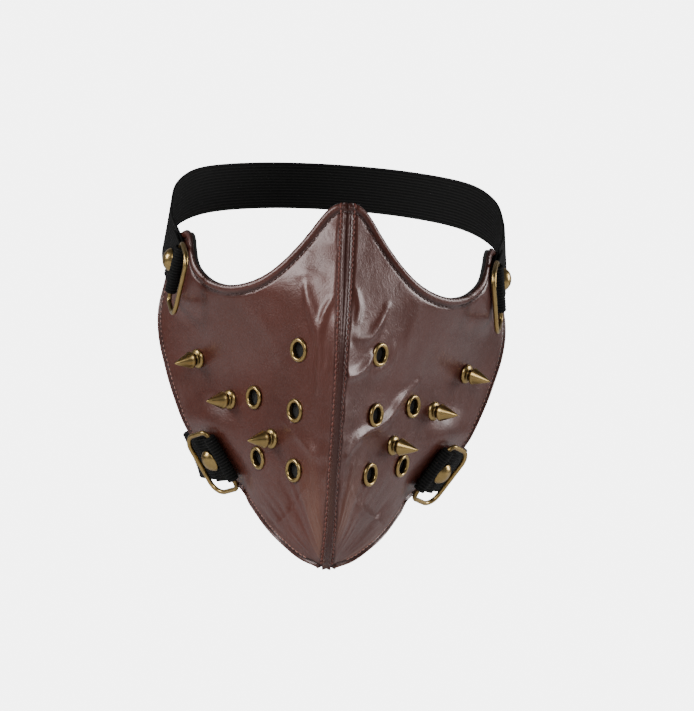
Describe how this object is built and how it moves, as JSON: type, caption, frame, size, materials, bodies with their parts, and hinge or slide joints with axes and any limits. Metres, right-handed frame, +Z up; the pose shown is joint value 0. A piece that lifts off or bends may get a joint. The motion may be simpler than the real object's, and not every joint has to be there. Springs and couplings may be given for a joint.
{
  "type": "half-face costume mask",
  "caption": "Half-face costume mask of two brown leather panels joined at a centre seam, with brass eyelets, cone spikes, studs, pull rings and two elastic head straps.",
  "frame": {"origin": "the middle of the wearer's head, between the ears and level with the eyes", "axes": "+Z up; the mask faces -Y; +X is to the right of someone looking at its front, and left and right in the nodes' names are that person's"},
  "size_m": [0.177, 0.2152, 0.2053],
  "materials": {
    "leather": "smooth satin faux leather, red-brown",
    "lining": "matte black fleece-backed lining",
    "elastic": "matte black woven elastic with crosswise ribs",
    "thread": "red-brown sewing thread, seen only as stitching on the panels",
    "brass": "antique brass, darkened in its recesses"
  },
  "bodies": {
    "mask": {"leather_panel_right": "leather", "lining_right": "lining", "eyelet_right_1": "brass", "eyelet_right_2": "brass", "eyelet_right_3": "brass", "eyelet_right_4": "brass", "eyelet_right_5": "brass", "spike_right_1": "brass", "spike_screw_right_1": "brass", "spike_right_2": "brass", "spike_screw_right_2": "brass", "spike_right_3": "brass", "spike_screw_right_3": "brass", "upper_stud_right": "brass", "upper_stud_rivet_right": "brass", "lower_stud_right": "brass", "lower_stud_rivet_right": "brass", "leather_panel_left": "leather", "lining_left": "lining", "eyelet_left_1": "brass", "eyelet_left_2": "brass", "eyelet_left_3": "brass", "eyelet_left_4": "brass", "eyelet_left_5": "brass", "spike_left_1": "brass", "spike_screw_left_1": "brass", "spike_left_2": "brass", "spike_screw_left_2": "brass", "spike_left_3": "brass", "spike_screw_left_3": "brass", "upper_stud_left": "brass", "upper_stud_rivet_left": "brass", "lower_stud_left": "brass", "lower_stud_rivet_left": "brass", "upper_strap": "elastic", "lower_strap": "elastic"},
    "upper_ring_right": {"upper_ring_right": "brass"},
    "lower_ring_right": {"lower_ring_right": "brass"},
    "upper_ring_left": {"upper_ring_left": "brass"},
    "lower_ring_left": {"lower_ring_left": "brass"}
  },
  "joints": [
    {"name": "upper_ring_hinge_right", "type": "hinge", "parent": "mask", "child": "upper_ring_right", "pos_m": [0.08027, -0.03455, -0.02168], "axis": [-0.159, -0.4439, 0.8818], "range_deg": [-5, 165]},
    {"name": "upper_ring_hinge_left", "type": "hinge", "parent": "mask", "child": "upper_ring_left", "pos_m": [-0.08027, -0.03455, -0.02168], "axis": [-0.159, 0.4439, -0.8818], "range_deg": [-5, 165]},
    {"name": "lower_ring_hinge_right", "type": "hinge", "parent": "mask", "child": "lower_ring_right", "pos_m": [0.05191, -0.03935, -0.11321], "axis": [-0.5441, 0.141, -0.8271], "range_deg": [-4, 130]},
    {"name": "lower_ring_hinge_left", "type": "hinge", "parent": "mask", "child": "lower_ring_left", "pos_m": [-0.05191, -0.03935, -0.11321], "axis": [-0.5441, -0.141, 0.8271], "range_deg": [-4, 130]}
  ]
}
